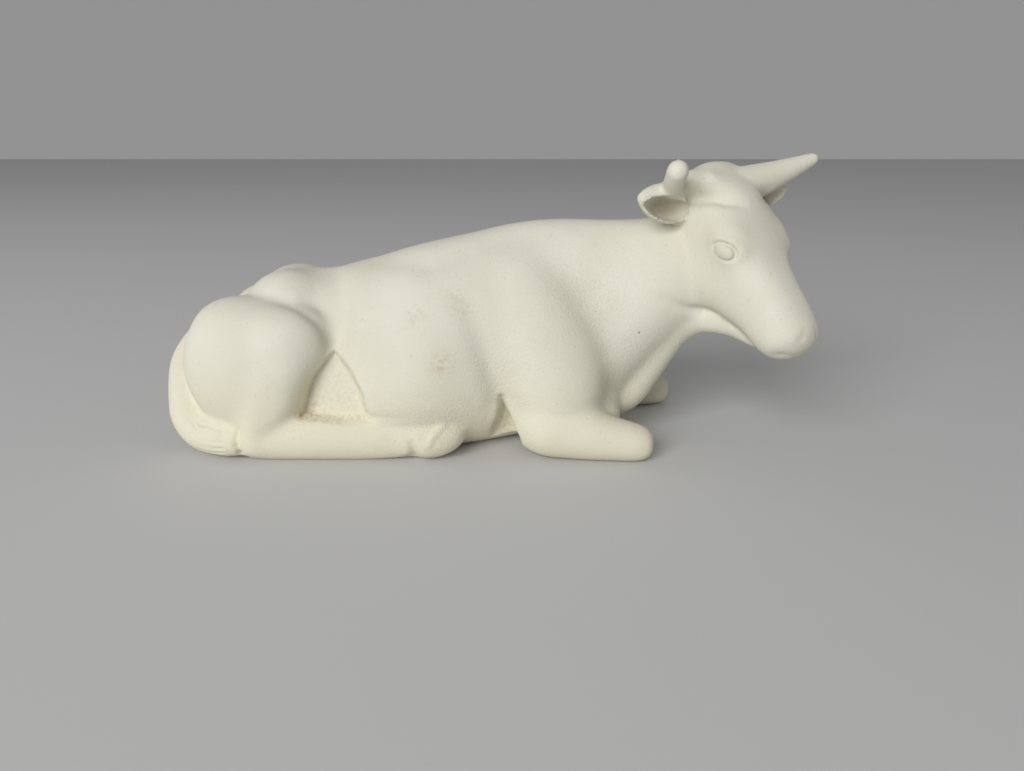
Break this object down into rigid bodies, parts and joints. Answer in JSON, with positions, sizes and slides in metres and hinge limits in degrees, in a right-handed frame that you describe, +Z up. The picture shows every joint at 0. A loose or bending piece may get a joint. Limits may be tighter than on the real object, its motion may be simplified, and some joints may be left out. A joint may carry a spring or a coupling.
{
  "type": "cow figurine",
  "caption": "Lying cow ornament in unglazed cream clay with short horns, folded legs, a curled tail and its head turned to one side, to stand on a shelf or table.",
  "frame": {"origin": "on the flat underside of the trunk, below the spine, on the plane the cow lies on", "axes": "+X the way the trunk faces, +Y to the cow's left, +Z up"},
  "size_m": [0.1616, 0.061, 0.0721],
  "materials": {
    "bisque": "matte unglazed, fine grained"
  },
  "bodies": {
    "root": {"body_shell": "bisque", "head": "bisque", "right_horn": "bisque", "left_horn": "bisque", "right_ear": "bisque", "left_ear": "bisque", "right_foreleg": "bisque", "left_foreleg": "bisque", "right_hind_shank": "bisque", "left_hind_shank": "bisque", "tail": "bisque"}
  },
  "joints": []
}
